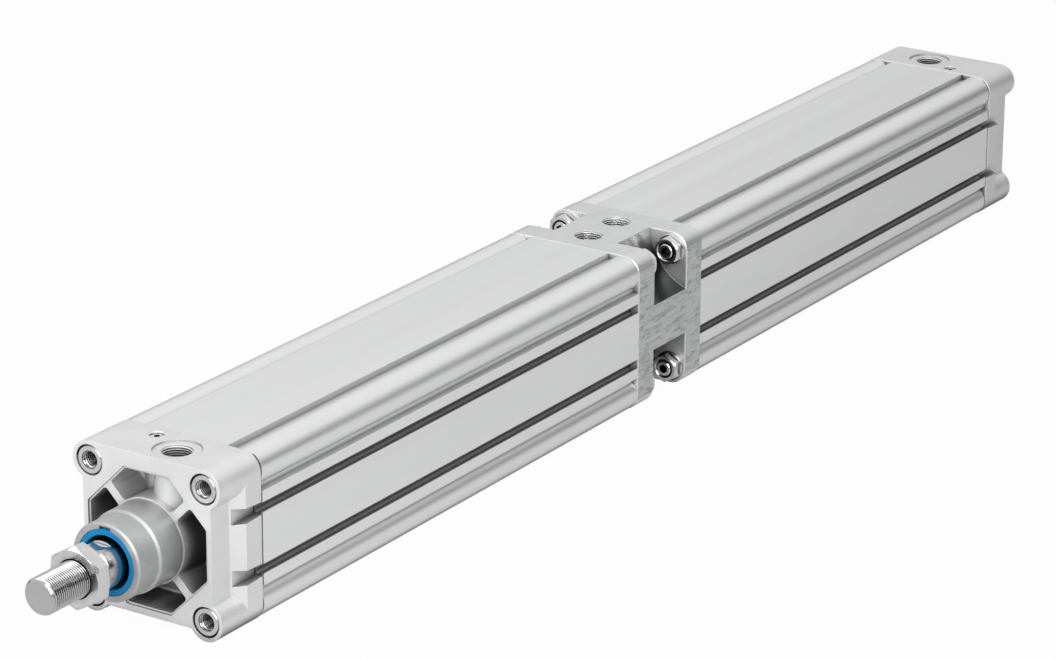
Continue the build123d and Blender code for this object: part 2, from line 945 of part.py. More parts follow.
def needle_ring():
    """Seal ring in the groove of the cushioning screw."""
    inner = needle_bore_radius - needle_clearance - needle_ring_depth + static_clearance
    outer = needle_bore_radius - static_clearance
    low = needle_ring_top - needle_ring_width + static_clearance
    high = needle_ring_top - static_clearance
    band = Plane((-needle_setback, -needle_offset, low)) * (Circle(outer) - Circle(inner))
    return extrude(band, amount=high - low)


front_piston = Pos(front_piston_middle, 0, 0)
rear_piston = Pos(rear_piston_middle, 0, 0)
at_front_seat = Pos(block_front + spigot_length - middle_seat_depth, 0, 0)
at_rear_seat = Pos(block_rear - spigot_length + middle_seat_depth, 0, 0) * Rot(0, 0, 180)
half_facing_front, half_facing_rear = both_halves(piston_half())

pieces = {
    "front_cover": front_cover(),
    "front_barrel": barrel(block_front),
    "middle_block": middle_block(),
    "rear_barrel": barrel(rear_seam),
    "rear_cover": rear_cover(),
    "front_cover_screws": group(at_corners(collar_screw())),
    "rear_cover_screws": group(at_rear_face * screw for screw in at_corners(collar_screw())),
    "front_plate_studs": group(at_front_plate * pin for pin in at_corners(stud())),
    "rear_plate_studs": group(at_rear_plate * pin for pin in at_corners(stud())),
    "front_plate_nuts": group(at_front_plate * nut for nut in at_corners(flange_nut())),
    "rear_plate_nuts": group(at_rear_plate * nut for nut in at_corners(flange_nut())),
    "rod_bearing_bush": rod_bush(),
    "rod_seal": rod_seal(),
    "wiper_seal": wiper_seal(),
    "middle_bearing_bush": middle_bush(),
    "middle_rod_seals": group([at_front_seat * middle_seal(), at_rear_seat * middle_seal()]),
    "middle_retaining_rings": group([at_front_seat * retaining_ring(), at_rear_seat * retaining_ring()]),
    "front_cover_seal_ring": Pos(-cover_depth, 0, 0) * spigot_seal_ring(),
    "rear_cover_seal_ring": at_rear_face * Pos(-cover_depth, 0, 0) * spigot_seal_ring(),
    "middle_seal_rings": group([at_block_front * spigot_seal_ring(), at_block_rear * spigot_seal_ring()]),
    "front_cushion_seal": cushion_seal(),
    "rear_cushion_seal": at_rear_face * cushion_seal(),
    "front_cushion_screw": needle_screw(),
    "front_cushion_screw_ring": needle_ring(),
    "rear_cushion_screw": at_rear_face * needle_screw(),
    "rear_cushion_screw_ring": at_rear_face * needle_ring(),
    "front_piston_seals": group(front_piston * seal for seal in both_halves(lip_seal())),
    "front_guide_rings": group(front_piston * guide for guide in both_halves(guide_ring())),
    "rear_piston_seals": group(rear_piston * seal for seal in both_halves(lip_seal())),
    "rear_guide_rings": group(rear_piston * guide for guide in both_halves(guide_ring())),
    "piston_rod": piston_rod(),
    "intermediate_rod": intermediate_rod(),
    "front_piston_front_half": front_piston * half_facing_front,
    "front_piston_rear_half": front_piston * half_facing_rear,
    "rear_piston_front_half": rear_piston * half_facing_front,
    "rear_piston_rear_half": rear_piston * half_facing_rear,
    "front_piston_magnet": front_piston * magnet(),
    "rear_piston_magnet": rear_piston * magnet(),
    "front_stub_seal_ring": front_piston * stub_seal_ring(),
    "rear_stub_seal_ring": rear_piston * stub_seal_ring(),
    "front_cushion_sleeve": cushion_sleeve(),
    "cushion_sleeve_clip": sleeve_clip(),
    "rear_cushion_spear": cushion_spear(),
    "rod_nut": rod_nut(),
}

os.makedirs("parts", exist_ok=True)
for name, shape in pieces.items():
    export_step(shape, f"parts/{name}.step")
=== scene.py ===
import json
import math

import bmesh
import bpy
from mathutils import Euler, Matrix, Vector


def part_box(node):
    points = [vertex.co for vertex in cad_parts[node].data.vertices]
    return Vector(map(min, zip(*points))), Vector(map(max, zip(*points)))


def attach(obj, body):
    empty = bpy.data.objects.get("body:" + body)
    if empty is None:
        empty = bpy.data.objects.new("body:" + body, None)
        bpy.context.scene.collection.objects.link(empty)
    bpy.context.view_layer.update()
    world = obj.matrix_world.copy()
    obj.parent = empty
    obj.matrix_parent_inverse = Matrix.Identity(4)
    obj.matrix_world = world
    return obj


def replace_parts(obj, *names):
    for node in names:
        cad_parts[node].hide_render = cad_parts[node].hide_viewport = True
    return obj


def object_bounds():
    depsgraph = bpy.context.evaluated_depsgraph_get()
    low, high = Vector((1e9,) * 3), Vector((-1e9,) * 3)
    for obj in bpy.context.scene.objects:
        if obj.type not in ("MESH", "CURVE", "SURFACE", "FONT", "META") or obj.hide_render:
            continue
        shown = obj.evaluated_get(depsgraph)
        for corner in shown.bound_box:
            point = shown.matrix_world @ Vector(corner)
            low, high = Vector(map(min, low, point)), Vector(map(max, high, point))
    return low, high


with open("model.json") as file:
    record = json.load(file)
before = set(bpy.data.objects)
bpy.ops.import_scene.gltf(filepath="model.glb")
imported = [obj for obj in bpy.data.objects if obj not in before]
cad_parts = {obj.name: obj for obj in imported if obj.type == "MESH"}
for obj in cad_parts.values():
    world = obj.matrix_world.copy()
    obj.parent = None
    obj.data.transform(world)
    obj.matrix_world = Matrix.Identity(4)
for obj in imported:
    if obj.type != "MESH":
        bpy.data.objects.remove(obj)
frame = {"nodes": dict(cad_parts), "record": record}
cad_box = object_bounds()
nodes = frame["nodes"]
mm = 0.001

# Sizes of the turned details
rod_radius = 12.5 * mm
rod_shoulder = 46.0 * mm
rod_edge = 0.75 * mm
rod_flats = 22.0 * mm
rod_flats_start = 36.0 * mm
rod_thread_radius = 10.0 * mm
rod_pitch_radius = 9.5 * mm
rod_thread_depth = 0.92 * mm
rod_thread_pitch = 1.5 * mm
rod_end_chamfer = 1.5 * mm
centre_hole_radius = 0.9 * mm
centre_hole_depth = 0.5 * mm
stub_radius = 10.5 * mm
stub_length = 40.0 * mm
joint_radius = 8.0 * mm
joint_length = 20.0 * mm
screw_thread_radius = 5.0 * mm
screw_thread_depth = 0.75 * mm
screw_thread_pitch = 1.5 * mm
screw_thread_length = 16.0 * mm
port_thread_radius = 8.3 * mm
port_thread_depth = 0.8 * mm
port_thread_pitch = 1.34 * mm
port_thread_length = 13.5 * mm
groove_half_width = 0.390625
groove_half_bottom = 0.078125
bolt_half_pitch = 36.0 * mm
mounting_thread_setback = 0.4 * mm
thread_gap = 0.02 * mm
wiper_face_radius = 14.5 * mm
wiper_face_edge = 0.3 * mm
wiper_lip_setback = 3.0 * mm
wiper_lip_slope = 2.0 * mm
wiper_lip_radius = 12.55 * mm

# Fineness of the meshes
turned_sides = 96
thread_sides = 72
hole_sides = 40
stations_per_turn = 8
sharp_from_degrees = 32.0

# Where the finish changes on the covers' tower and on the middle block, and where the painted shade and
# painted sheen on them change
tower_radius = 22.7 * mm
pocket_margin = 0.2 * mm
waist_half_length = 17.5 * mm
pocket_shade_to = 32 * mm
pocket_sheen_from = 45 * mm
sideways_from = 0.95
skin_roughness = 0.36
milled_roughness = 0.15
streaks_dark_to = 0.34
streaks_bright_from = 0.52
broken_edge = 0.5 * mm

# Painted light in the covers' upper pockets, where the painted shade is weaker, and painted shade along
# the seams between covers and barrels
pocket_light_from = 14 * mm
pocket_light_to = 24 * mm
pocket_light_end = 36.5 * mm
seam_width = 1.0 * mm
seam_shade_level = 0.2
seam_sideways_from = 0.5

# Where a noise value starts and ends its change, and where shade does
noise_from = 0.3
noise_to = 0.7
shade_from = 0.25
shade_to = 0.75

# Shade in pockets, slots and corners: how far away a surface still takes light, and how dark it gets
shades = {
    "lower_pockets": (22 * mm, 0.12),
    "upper_pockets": (22 * mm, 0.8),
    "profile": (12 * mm, 0.05),
    "block": (7 * mm, 0.5),
    "zinc": (12 * mm, 0.06),
    "chrome": (8 * mm, 0.03),
    "thread": (1.2 * mm, 0.15),
}

# The photographed view
camera_place = (1.584901, 1.26069, 0.845381)
camera_azimuth = 123.081
camera_elevation = 19.936
camera_roll = 0.279
camera_lens = 147.76
camera_sensor = 36.0
camera_nearest = 0.05
camera_farthest = 60.0

# The floor
floor_height = cad_box[0][2]
floor_gap = 0.2 * mm
floor_half = 12.0

# Light of the studio
horizon_grey = 0.04
bright_side = (0.0, -0.2, 1.0)
sky_dim_to = 0.10
sky_white_from = 0.45
world_fill = 0.30
world_mirrored = 0.9
floor_white = 0.55
seen_white = 0.97
mirrored_white = 0.34

# Softboxes: place, point looked at, width, height, power, and whether metal mirrors the lamp
softboxes = {
    "top_lamp": ((-0.15, 0.1, 2.0), (-0.3, 0.0, 0.0), 2.2, 1.6, 14.0, False),
    "front_lamp": ((2.1, -0.8, 0.9), (0.0, 0.0, 0.0), 2.0, 1.6, 28.0, True),
    "side_lamp": ((0.8, 1.05, 0.9), (-0.05, 0.0, 0.0), 2.0, 1.3, 30.0, True),
}


# Node helpers


def new_material(name):
    """Empty material with a principled shader; returns its tree and shader too."""
    material = bpy.data.materials.new(name)
    material.use_nodes = True
    tree = material.node_tree
    shader = tree.nodes["Principled BSDF"]
    return material, tree, shader


def node(tree, kind, **values):
    """Add a node and set its properties or its input sockets by name."""
    made = tree.nodes.new(kind)
    for key, value in values.items():
        if hasattr(made, key):
            setattr(made, key, value)
        else:
            made.inputs[key.replace("_", " ")].default_value = value
    return made


def place(tree, stretch=(1.0, 1.0, 1.0)):
    """Coordinates fixed to the piece, stretched along each axis."""
    source = node(tree, "ShaderNodeTexCoord")
    mapping = node(tree, "ShaderNodeMapping")
    mapping.inputs["Scale"].default_value = stretch
    tree.links.new(source.outputs["Object"], mapping.inputs["Vector"])
    return mapping.outputs["Vector"]


def noise(tree, scale, detail=4.0, stretch=(1.0, 1.0, 1.0), roughness=0.55):
    """Noise value on the piece's own coordinates."""
    texture = node(tree, "ShaderNodeTexNoise", Scale=scale, Detail=detail, Roughness=roughness)
    tree.links.new(place(tree, stretch), texture.inputs["Vector"])
    return texture.outputs["Fac"]


def ramp(tree, value, low, high, start=noise_from, end=noise_to):
    """Blend from one colour to another as a value rises."""
    blend = node(tree, "ShaderNodeValToRGB")
    blend.color_ramp.elements[0].position = start
    blend.color_ramp.elements[0].color = (*low, 1.0)
    blend.color_ramp.elements[1].position = end
    blend.color_ramp.elements[1].color = (*high, 1.0)
    tree.links.new(value, blend.inputs["Fac"])
    return blend.outputs["Color"]


def spread(tree, value, low, high):
    """Map a noise value to a range."""
    mapped = node(tree, "ShaderNodeMapRange")
    mapped.inputs["From Min"].default_value = noise_from
    mapped.inputs["From Max"].default_value = noise_to
    mapped.inputs["To Min"].default_value = low
    mapped.inputs["To Max"].default_value = high
    tree.links.new(value, mapped.inputs["Value"])
    return mapped.outputs["Result"]


def bump(tree, shader, height, strength, distance):
    """Feed a height into the shader's normal."""
    relief = node(tree, "ShaderNodeBump", Strength=strength, Distance=distance)
    tree.links.new(height, relief.inputs["Height"])
    if shader.inputs["Normal"].is_linked:
        tree.links.new(shader.inputs["Normal"].links[0].from_socket, relief.inputs["Normal"])
    tree.links.new(relief.outputs["Normal"], shader.inputs["Normal"])


def turned_about_x(tree, shader, share):
    """Stretch the highlights as fine turning marks about the X axis do."""
    shader.inputs["Anisotropic"].default_value = share
    marks = node(tree, "ShaderNodeTangent", direction_type="RADIAL", axis="X")
    tree.links.new(marks.outputs["Tangent"], shader.inputs["Tangent"])


def rounded_edges(tree, shader, radius):
    """Catch the light on edges as if they were broken to a small radius."""
    soft = node(tree, "ShaderNodeBevel", samples=4, Radius=radius)
    tree.links.new(soft.outputs["Normal"], shader.inputs["Normal"])


def component(tree, which, axis):
    """One component of the piece's own coordinates or of its normal."""
    shape = node(tree, "ShaderNodeTexCoord")
    parts = node(tree, "ShaderNodeSeparateXYZ")
    tree.links.new(shape.outputs[which], parts.inputs["Vector"])
    return parts.outputs[axis]


def size_along(tree, which, axis, middle=0.0):
    """How far one component of the piece's own coordinates or of its normal is from a middle value."""
    offset = node(tree, "ShaderNodeMath", operation="SUBTRACT")
    offset.inputs[1].default_value = middle
    tree.links.new(component(tree, which, axis), offset.inputs[0])
    size = node(tree, "ShaderNodeMath", operation="ABSOLUTE")
    tree.links.new(offset.outputs[0], size.inputs[0])
    return size.outputs[0]


def compared(tree, value, operation, limit):
    """1 where a value is above or below a limit, 0 elsewhere."""
    test = node(tree, "ShaderNodeMath", operation=operation)
    test.inputs[1].default_value = limit
    tree.links.new(value, test.inputs[0])
    return test.outputs[0]


def facing_sideways(tree):
    """1 on faces that look along Y, 0 elsewhere."""
    return compared(tree, size_along(tree, "Normal", "Y"), "GREATER_THAN", sideways_from)


def in_pockets(tree):
    """1 on the milled walls of the middle block's corner pockets, 0 elsewhere."""
    reach = node(tree, "ShaderNodeMath", operation="MAXIMUM")
    tree.links.new(size_along(tree, "Object", "Y"), reach.inputs[0])
    tree.links.new(size_along(tree, "Object", "Z"), reach.inputs[1])
    inside = compared(tree, reach.outputs[0], "LESS_THAN", cad_box[1][2] - pocket_margin)
    low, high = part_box("middle_block")
    from_middle = size_along(tree, "Object", "X", (low[0] + high[0]) / 2)
    between = compared(tree, from_middle, "LESS_THAN", waist_half_length - pocket_margin)
    return product(tree, inside, between)


def beside_cover(tree, end):
    """1 on the sides of a barrel close to the cover at one end, 0 elsewhere."""
    close = compared(tree, size_along(tree, "Object", "X", end), "LESS_THAN", seam_width)
    aside = compared(tree, size_along(tree, "Normal", "Y"), "GREATER_THAN", seam_sideways_from)
    return product(tree, close, aside)


def near_axis(tree, radius):
    """1 within a radius of the X axis, 0 elsewhere."""
    shape = node(tree, "ShaderNodeTexCoord")
    across = node(tree, "ShaderNodeVectorMath", operation="MULTIPLY")
    across.inputs[1].default_value = (0.0, 1.0, 1.0)
    tree.links.new(shape.outputs["Object"], across.inputs[0])
    reach = node(tree, "ShaderNodeVectorMath", operation="LENGTH")
    tree.links.new(across.outputs["Vector"], reach.inputs[0])
    return compared(tree, reach.outputs["Value"], "LESS_THAN", radius)


def product(tree, first, second):
    """One value times another."""
    times = node(tree, "ShaderNodeMath", operation="MULTIPLY")
    tree.links.new(first, times.inputs[0])
    tree.links.new(second, times.inputs[1])
    return times.outputs[0]


def in_shade(tree, colour, reach, darkest):
    """Darken a colour in pockets, slots and corners, where little light gets in."""
    open_share = node(tree, "ShaderNodeAmbientOcclusion", samples=8, Distance=reach)
    shade = ramp(tree, open_share.outputs["AO"], (darkest,) * 3, (1.0,) * 3, shade_from, shade_to)
    times = node(tree, "ShaderNodeMixRGB", blend_type="MULTIPLY", Fac=1.0)
    tree.links.new(colour, times.inputs["Color1"])
    tree.links.new(shade, times.inputs["Color2"])
    return times.outputs["Color"]


def mixed(tree, share, first, second):
    """Blend between two colours by a share."""
    blend = node(tree, "ShaderNodeMixRGB")
    tree.links.new(share, blend.inputs["Fac"])
    tree.links.new(first, blend.inputs["Color1"])
    tree.links.new(second, blend.inputs["Color2"])
    return blend.outputs["Color"]


def darkened(tree, colour, share, level):
    """Multiply a colour by a grey level where a share is 1."""
    times = node(tree, "ShaderNodeMixRGB", blend_type="MULTIPLY")
    times.inputs["Color2"].default_value = (level, level, level, 1.0)
    tree.links.new(share, times.inputs["Fac"])
    tree.links.new(colour, times.inputs["Color1"])
    return times.outputs["Color"]


def varied(tree, shader, low, high, rough, scale, stretch=(1.0, 1.0, 1.0)):
    """Colour and roughness that each wander between two values; returns the colour."""
    value = noise(tree, scale, stretch=stretch)
    colour = ramp(tree, value, low, high)
    tree.links.new(colour, shader.inputs["Base Color"])
    tree.links.new(spread(tree, value, *rough), shader.inputs["Roughness"])
    return colour


# Materials


def cast_aluminium():
    """Fine-blasted die casting of the covers, with painted shade on the tower and in the pockets, and
    painted light in the upper pockets.
    """
    material, tree, shader = new_material("cast_aluminium")
    shader.inputs["Metallic"].default_value = 0.7
    low = (0.72, 0.723, 0.723)
    high = (0.77, 0.772, 0.773)
    blasted = varied(tree, shader, low, high, rough=(0.46, 0.56), scale=40.0)
    # Painted shade: the tower round the axis takes a darker copy of the casting colour, for the darker
    # surroundings that its smoother metal mirrors.
    tower_painted_shade = ramp(tree, noise(tree, 200.0), (0.42, 0.425, 0.425), (0.47, 0.475, 0.475))
    colour = mixed(tree, near_axis(tree, tower_radius), blasted, tower_painted_shade)
    # Painted shade in the pockets, with painted light in the upper pockets: the shade there is much
    # weaker, as light from above gets in.
    upper = node(tree, "ShaderNodeMapRange", From_Min=pocket_light_from, From_Max=pocket_light_to)
    height = component(tree, "Object", "Z")
    tree.links.new(height, upper.inputs["Value"])
    below_rim = compared(tree, height, "LESS_THAN", pocket_light_end)
    lower_pockets = in_shade(tree, colour, *shades["lower_pockets"])
    upper_pockets = in_shade(tree, colour, *shades["upper_pockets"])
    in_light = product(tree, upper.outputs["Result"], below_rim)
    shaded = mixed(tree, in_light, lower_pockets, upper_pockets)
    tree.links.new(shaded, shader.inputs["Base Color"])
    rounded_edges(tree, shader, broken_edge)
    bump(tree, shader, noise(tree, 1400.0, detail=3.0), strength=0.10, distance=0.12 * mm)
    bump(tree, shader, noise(tree, 160.0, detail=2.0), strength=0.04, distance=0.4 * mm)
    return material


def anodised_profile():
    """Satin anodised extrusion with faint drawing lines along its length, painted shade in its slots and a
    painted dark line of shade beside each cover.
    """
    material, tree, shader = new_material("anodised_profile")
    shader.inputs["Metallic"].default_value = 0.75
    low = (0.77, 0.775, 0.775)
    high = (0.82, 0.825, 0.825)
    along = (0.03, 1.0, 1.0)
    colour = varied(tree, shader, low, high, rough=(0.32, 0.40), scale=60.0, stretch=along)
    shaded = in_shade(tree, colour, *shades["profile"])
    # Painted shade: a dark line on the barrel sides next to each cover, for the shadow in the seam.
    for end in (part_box("front_barrel")[1][0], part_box("rear_barrel")[0][0]):
        shaded = darkened(tree, shaded, beside_cover(tree, end), seam_shade_level)
    tree.links.new(shaded, shader.inputs["Base Color"])
    drawn = noise(tree, 900.0, detail=2.0, stretch=(0.006, 1.0, 1.0))
    bump(tree, shader, drawn, strength=0.10, distance=0.1 * mm)
    bump(tree, shader, noise(tree, 2200.0, detail=2.0), strength=0.04, distance=0.06 * mm)
    return material


def machined_aluminium():
    """Milled block; its side faces keep the rough skin of the bar. Its pockets are painted dark low down
    and light near the top, as painted shade and painted sheen, and its corners carry painted shade.
    """
    material, tree, shader = new_material("machined_aluminium")
    shader.inputs["Metallic"].default_value = 0.75
    smooth = ramp(tree, noise(tree, 90.0), (0.68, 0.69, 0.69), (0.74, 0.75, 0.75))
    streaks = noise(tree, 420.0, detail=8.0, stretch=(0.3, 1.0, 1.2), roughness=0.8)
    dark = (0.20, 0.21, 0.21)
    bright = (0.56, 0.57, 0.57)
    rough = ramp(tree, streaks, dark, bright, streaks_dark_to, streaks_bright_from)
    sideways = facing_sideways(tree)
    pockets = in_pockets(tree)
    # Painted shade and painted sheen in the pockets: dark low down, light near the top faces.
    height = size_along(tree, "Object", "Z")
    painted_shade_colour = (0.05, 0.053, 0.053)
    painted_sheen_colour = (0.75, 0.755, 0.755)
    milled = ramp(tree, height, painted_shade_colour, painted_sheen_colour, pocket_shade_to, pocket_sheen_from)
    colour = mixed(tree, pockets, mixed(tree, sideways, smooth, rough), milled)
    tree.links.new(in_shade(tree, colour, *shades["block"]), shader.inputs["Base Color"])
    finish = node(tree, "ShaderNodeMapRange", To_Min=skin_roughness, To_Max=milled_roughness)
    tree.links.new(pockets, finish.inputs["Value"])
    tree.links.new(finish.outputs["Result"], shader.inputs["Roughness"])
    rounded_edges(tree, shader, broken_edge)
    bump(tree, shader, product(tree, sideways, streaks), strength=0.25, distance=0.2 * mm)
    return material


def zinc_steel():
    """Bright zinc plating."""
    material, tree, shader = new_material("zinc_steel")
    shader.inputs["Metallic"].default_value = 1.0
    low = (0.66, 0.66, 0.655)
    high = (0.74, 0.74, 0.74)
    colour = varied(tree, shader, low, high, rough=(0.18, 0.26), scale=220.0)
    shaded = in_shade(tree, colour, *shades["zinc"])
    tree.links.new(in_shade(tree, shaded, *shades["thread"]), shader.inputs["Base Color"])
    return material


def chromed_rod():
    """Ground and hard-chromed rod, with faint turning marks round the axis."""
    material, tree, shader = new_material("chromed_rod")
    shader.inputs["Metallic"].default_value = 1.0
    low = (0.50, 0.50, 0.505)
    high = (0.58, 0.58, 0.58)
    around = (1.0, 0.1, 0.1)
    colour = varied(tree, shader, low, high, rough=(0.16, 0.24), scale=180.0, stretch=around)
    shaded = in_shade(tree, colour, *shades["chrome"])
    tree.links.new(in_shade(tree, shaded, *shades["thread"]), shader.inputs["Base Color"])
    turned_about_x(tree, shader, share=0.5)
    return material


def rubber(name, low, high, rough):
    """Satin rubber or polyurethane."""
    material, tree, shader = new_material(name)
    shader.inputs["Specular IOR Level"].default_value = 0.25
    varied(tree, shader, low, high, rough, scale=300.0)
    bump(tree, shader, noise(tree, 1800.0, detail=2.0), strength=0.06, distance=0.06 * mm)
    return material


def turned_piece(name, low, high, rough, metallic=1.0):
    """Turned inner pieces of metal, magnet or plastic."""
    material, tree, shader = new_material(name)
    shader.inputs["Metallic"].default_value = metallic
    varied(tree, shader, low, high, rough, scale=200.0)
    bump(tree, shader, noise(tree, 2400.0, detail=2.0), strength=0.06, distance=0.05 * mm)
    return material


materials = {
    "cast_aluminium": cast_aluminium(),
    "anodised_profile": anodised_profile(),
    "machined_aluminium": machined_aluminium(),
    "zinc_steel": zinc_steel(),
    "chromed_rod": chromed_rod(),
    "blue_seal": rubber("blue_seal", (0.0, 0.18, 0.42), (0.0, 0.22, 0.48), (0.45, 0.55)),
    "black_seal": rubber("black_seal", (0.015, 0.015, 0.016), (0.03, 0.03, 0.031), (0.45, 0.6)),
    "bronze_bush": turned_piece("bronze_bush", (0.42, 0.27, 0.14), (0.52, 0.35, 0.19), (0.35, 0.5)),
    "magnet": turned_piece("magnet", (0.05, 0.05, 0.055), (0.08, 0.08, 0.085), (0.5, 0.65), 0.0),
    "guide_plastic": turned_piece(
        "guide_plastic", (0.62, 0.59, 0.50), (0.70, 0.67, 0.58), (0.4, 0.5), 0.0
    ),
    "piston_aluminium": turned_piece(
        "piston_aluminium", (0.68, 0.69, 0.70), (0.78, 0.79, 0.8), (0.25, 0.4)
    ),
}


def dress(piece, slot):
    """Give a piece the material of one slot."""
    piece.data.materials.clear()
    piece.data.materials.append(materials[slot])


def dress_cad_nodes():
    """Every CAD node takes the material of its slot in the record."""
    for entry in frame["record"]["subparts"]:
        dress(nodes[entry["node"]], entry["material_slot"])


# Turned and threaded pieces


def lathe(mesh, rings):
    """Closed skin over rings of equal length; one-point rings close its ends."""
    loops = [[mesh.verts.new(point) for point in points] for points in rings]
    for near, far in zip(loops, loops[1:]):
        count = max(len(near), len(far))
        for i in range(count):
            j = (i + 1) % count
            if len(near) == 1:
                mesh.faces.new((near[0], far[j], far[i]))
            elif len(far) == 1:
                mesh.faces.new((near[i], near[j], far[0]))
            else:
                mesh.faces.new((near[i], near[j], far[j], far[i]))


def hoop(mesh, rings, turn=Matrix.Identity(4)):
    """Closed skin over rings of equal length, the last joined back to the first."""
    loops = [[mesh.verts.new(turn @ Vector(point)) for point in points] for points in rings]
    for near, far in zip(loops, loops[1:] + loops[:1]):
        for i in range(len(near)):
            j = (i + 1) % len(near)
            mesh.faces.new((near[i], near[j], far[j], far[i]))


def circle(x, radius_at, sides):
    """Ring of points round the X axis at x, each at the radius that radius_at gives for its angle."""
    points = []
    for i in range(sides):
        angle = 2 * math.pi * i / sides
        radius = radius_at(angle)
        points.append((x, radius * math.cos(angle), radius * math.sin(angle)))
    return points


def thread_depth(x, angle, pitch):
    """How far the groove of a helical thread is cut at a point, from 0 at the crest to 1 at the root."""
    phase = (x / pitch - angle / (2 * math.pi)) % 1.0
    inside = groove_half_width - abs(phase - 0.5)
    return min(1.0, max(0.0, inside / (groove_half_width - groove_half_bottom)))


def steps(start, end, count):
    """Evenly spaced stations from start to end, both included."""
    return [start + (end - start) * i / count for i in range(count + 1)]


def object_from(mesh, name, body, slot):
    """Make an object of a finished mesh, smooth it by angle and let it ride on its body."""
    bmesh.ops.recalc_face_normals(mesh, faces=mesh.faces)
    data = bpy.data.meshes.new(name)
    mesh.to_mesh(data)
    mesh.free()
    piece = bpy.data.objects.new(name, data)
    bpy.context.scene.collection.objects.link(piece)
    dress(piece, slot)
    data.shade_smooth()
    data.set_sharp_from_angle(angle=math.radians(sharp_from_degrees))
    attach(piece, body)
    return piece


def rod_shank(mesh, rear, front):
    """Plain length of the rod with its spanner flats, from the stub to the shoulder."""
    sides = turned_sides
    half_flats = rod_flats / 2

    def round_at(radius):
        return lambda angle: radius

    def flat_at(radius):
        def limit(angle):
            rise = abs(math.sin(angle))
            return min(radius, half_flats / rise) if rise > half_flats / radius else radius
        return limit

    joint_front = rear + joint_length
    stub_front = joint_front + stub_length
    rings = [[(rear, 0.0, 0.0)], circle(rear, round_at(joint_radius), sides)]
    rings.append(circle(joint_front, round_at(joint_radius), sides))
    rings.append(circle(joint_front, round_at(stub_radius), sides))
    rings.append(circle(stub_front, round_at(stub_radius), sides))
    rings.append(circle(stub_front, round_at(rod_radius), sides))
    rings.append(circle(rod_flats_start, round_at(rod_radius), sides))
    rings.append(circle(rod_flats_start, flat_at(rod_radius), sides))
    rings.append(circle(front - rod_edge, flat_at(rod_radius), sides))
    rings.append(circle(front, flat_at(rod_radius - rod_edge), sides))
    rings.append([(front, 0.0, 0.0)])
    lathe(mesh, rings)


def rod_thread(mesh, rear, tip):
    """Threaded end of the rod, with its chamfer, its centre mark and the narrower part inside the nut."""
    count = int((tip - rear) / rod_thread_pitch * stations_per_turn)
    nut_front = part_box("rod_nut")[1][0]
    rings = [[(rear, 0.0, 0.0)]]
    for x in steps(rear, tip, count):
        crest = rod_thread_radius if x > nut_front else rod_pitch_radius
        cone = crest - max(0.0, rod_end_chamfer - (tip - x))

        def radius_at(angle, x=x, cone=cone):
            groove = rod_thread_depth * thread_depth(x, angle, rod_thread_pitch)
            return min(cone, rod_thread_radius - groove)

        rings.append(circle(x, radius_at, thread_sides))
    rings.append(circle(tip, lambda angle: centre_hole_radius, thread_sides))
    rings.append([(tip - centre_hole_depth, 0.0, 0.0)])
    lathe(mesh, rings)


def add_rod():
    """The whole front rod with a real thread, in place of the plain one."""
    low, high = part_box("piston_rod")
    mesh = bmesh.new()
    rod_shank(mesh, low[0], rod_shoulder)
    rod_thread(mesh, rod_shoulder - rod_edge, high[0])
    rod = object_from(mesh, "rod_with_thread", "rod", "chromed_rod")
    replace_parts(rod, "piston_rod")


def female_thread(mesh, radius, depth, pitch, length, turn):
    """Thread ridges that line a hole, from its mouth at the origin along -X."""
    count = int(length / pitch * stations_per_turn)
    rings = [circle(0.0, lambda angle: radius - thread_gap, hole_sides)]
    for x in steps(0.0, -length, count):
        def radius_at(angle, x=x):
            ridge = depth * (1.0 - thread_depth(x, angle, pitch))
            return radius - thread_gap * 2 - ridge * min(1.0, -x / pitch)

        rings.append(circle(x, radius_at, hole_sides))
    rings.append(circle(-length, lambda angle: radius - thread_gap, hole_sides))
    hoop(mesh, rings, turn)


def screw_thread(mesh, turn):
    """Thread in the head of one collar screw."""
    pitch = screw_thread_pitch
    female_thread(mesh, screw_thread_radius, screw_thread_depth, pitch, screw_thread_length, turn)


def add_mounting_threads():
    """Threads in the heads of the collar screws at both ends."""
    for end, flip in (("front", 0), ("rear", 180)):
        low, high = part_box(end + "_cover_screws")
        mouth = low[0] if flip else high[0]
        mesh = bmesh.new()
        for y in (-bolt_half_pitch, bolt_half_pitch):
            for z in (-bolt_half_pitch, bolt_half_pitch):
                turn = Matrix.Translation((mouth, y, z)) @ Matrix.Rotation(math.radians(flip), 4, "Z")
                screw_thread(mesh, turn @ Matrix.Translation((-mounting_thread_setback, 0, 0)))
        object_from(mesh, end + "_mounting_threads", "housing", "zinc_steel")


def add_port_threads():
    """Threads in the four air ports."""
    for mount in frame["record"]["mounts"]:
        if mount["kind"] != "threaded_hole":
            continue
        x, y, z = mount["pos_m"]
        mouth = z + mount["dims"]["length_mm"] * mm / 2
        mesh = bmesh.new()
        turn = Matrix.Translation((x, y, mouth)) @ Matrix.Rotation(math.radians(-90), 4, "Y")
        pitch = port_thread_pitch
        female_thread(mesh, port_thread_radius, port_thread_depth, pitch, port_thread_length, turn)
        slot = "machined_aluminium" if mount["name"].startswith("middle") else "cast_aluminium"
        object_from(mesh, mount["name"] + "_thread", "housing", slot)


def turned_ring(name, outline, body, slot):
    """Ring about the X axis with an outline of (x, radius) points."""
    mesh = bmesh.new()
    hoop(mesh, [circle(x, lambda angle, radius=radius: radius, turned_sides) for x, radius in outline])
    return object_from(mesh, name, body, slot)


